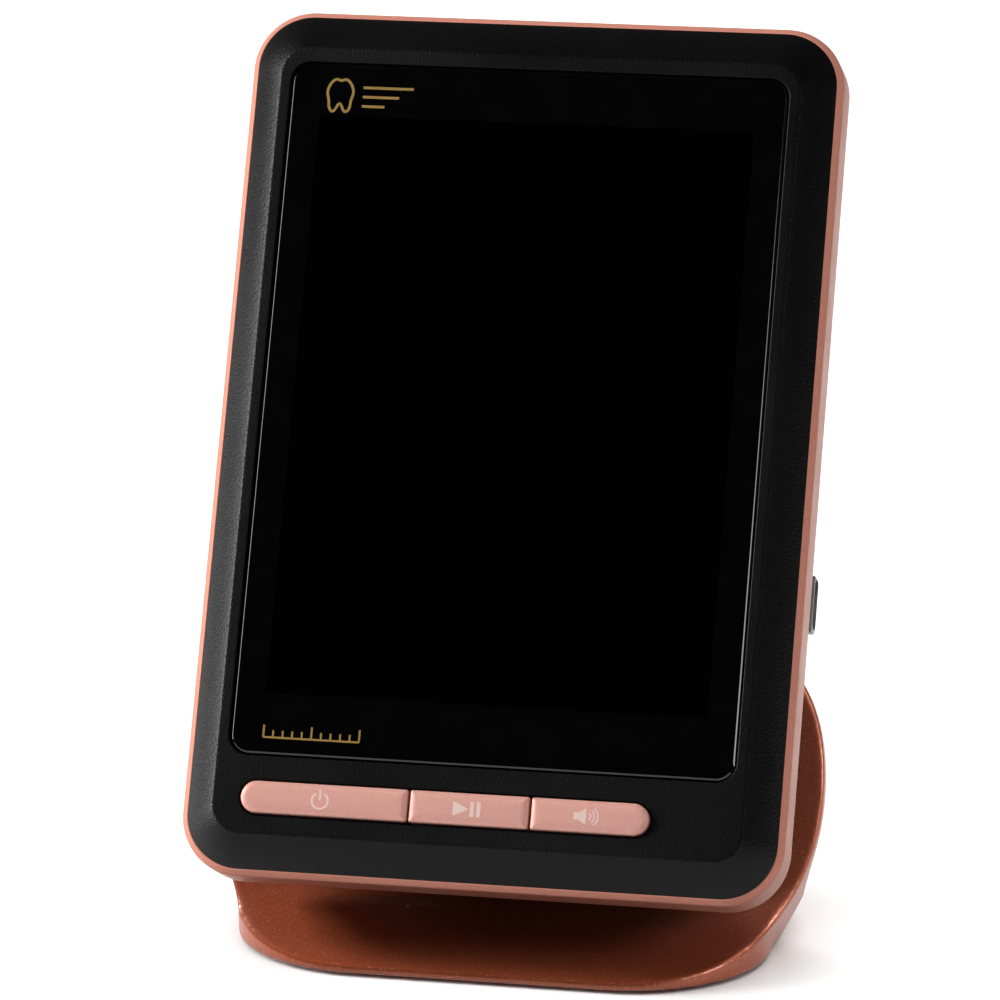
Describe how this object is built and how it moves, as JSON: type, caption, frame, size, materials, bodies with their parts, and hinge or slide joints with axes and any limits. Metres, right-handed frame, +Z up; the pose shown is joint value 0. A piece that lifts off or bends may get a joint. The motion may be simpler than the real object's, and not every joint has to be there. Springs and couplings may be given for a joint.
{
  "type": "apex locator",
  "caption": "Desk-top dental apex locator: a leaning flat display unit with three push keys below its window, on a friction hinge over a one-piece bent stand.",
  "frame": {"origin": "centre of the footprint's bounding box, on the surface the rubber feet rest on", "axes": "+Z up, the screen faces -Y and leans back, +X to the right seen from the front"},
  "size_m": [0.0974, 0.0753, 0.1392],
  "materials": {
    "rose_rim": "satin metallic rose-gold paint",
    "black_bezel": "fine spark texture, satin black",
    "window_glass": "gloss black",
    "black_tape": "matt",
    "display_glass": "dark, switched off",
    "white_plastic": "matt white",
    "amber_film": "amber film",
    "circuit_board": "green solder mask",
    "chip_black": "matt black",
    "steel_screw": "zinc plated",
    "black_case": "fine texture, matt black",
    "battery_wrap": "blue shrink wrap",
    "black_screw": "blackened",
    "bare_steel": "pressed steel",
    "copper_paint": "copper metallic paint under clear coat",
    "foot_rubber": "matt black",
    "bronze": "bronze",
    "rose_key": "pearl rose-gold paint"
  },
  "bodies": {
    "stand": {"stand_shell": "copper_paint", "base_weight": "bare_steel", "base_cover": "black_case", "base_screws": "black_screw", "rubber_feet": "foot_rubber", "hinge_leaf_stand": "bare_steel", "hinge_stand_screws": "black_screw", "hinge_washers": "bronze"},
    "head": {"rim_frame": "rose_rim", "front_bezel": "black_bezel", "window_lens": "window_glass", "lens_tape": "black_tape", "lcd_panel": "display_glass", "lcd_backlight": "white_plastic", "lcd_bracket": "white_plastic", "flat_cable": "amber_film", "main_board": "circuit_board", "board_chips": "chip_black", "board_screws": "steel_screw", "key_board": "circuit_board", "key_board_screws": "steel_screw", "key_cable": "amber_film", "tact_switches": "chip_black", "rear_cover": "black_case", "battery_door": "black_case", "battery_door_screw": "steel_screw", "battery_pack": "battery_wrap", "buzzer": "chip_black", "case_screws": "black_screw", "port_surround": "black_case", "probe_socket": "bare_steel", "charge_socket": "black_case", "hinge_leaf_head": "bare_steel", "hinge_head_screws": "steel_screw", "hinge_pin": "bare_steel"},
    "power_key": {"power_button": "rose_key"},
    "play_key": {"play_button": "rose_key"},
    "volume_key": {"volume_button": "rose_key"}
  },
  "joints": [
    {"name": "head_tilt", "type": "hinge", "parent": "stand", "child": "head", "pos_m": [0, 0.0012, 0.04312], "axis": [-1, 0, 0], "range_deg": [-4, 30]},
    {"name": "power_press", "type": "slide", "parent": "head", "child": "power_key", "axis": [0, 0.9026, -0.4305], "range_m": [0, 0.0006], "stiffness_N_per_m": 1500},
    {"name": "play_press", "type": "slide", "parent": "head", "child": "play_key", "axis": [0, 0.9026, -0.4305], "range_m": [0, 0.0006], "stiffness_N_per_m": 1500},
    {"name": "volume_press", "type": "slide", "parent": "head", "child": "volume_key", "axis": [0, 0.9026, -0.4305], "range_m": [0, 0.0006], "stiffness_N_per_m": 1500}
  ]
}
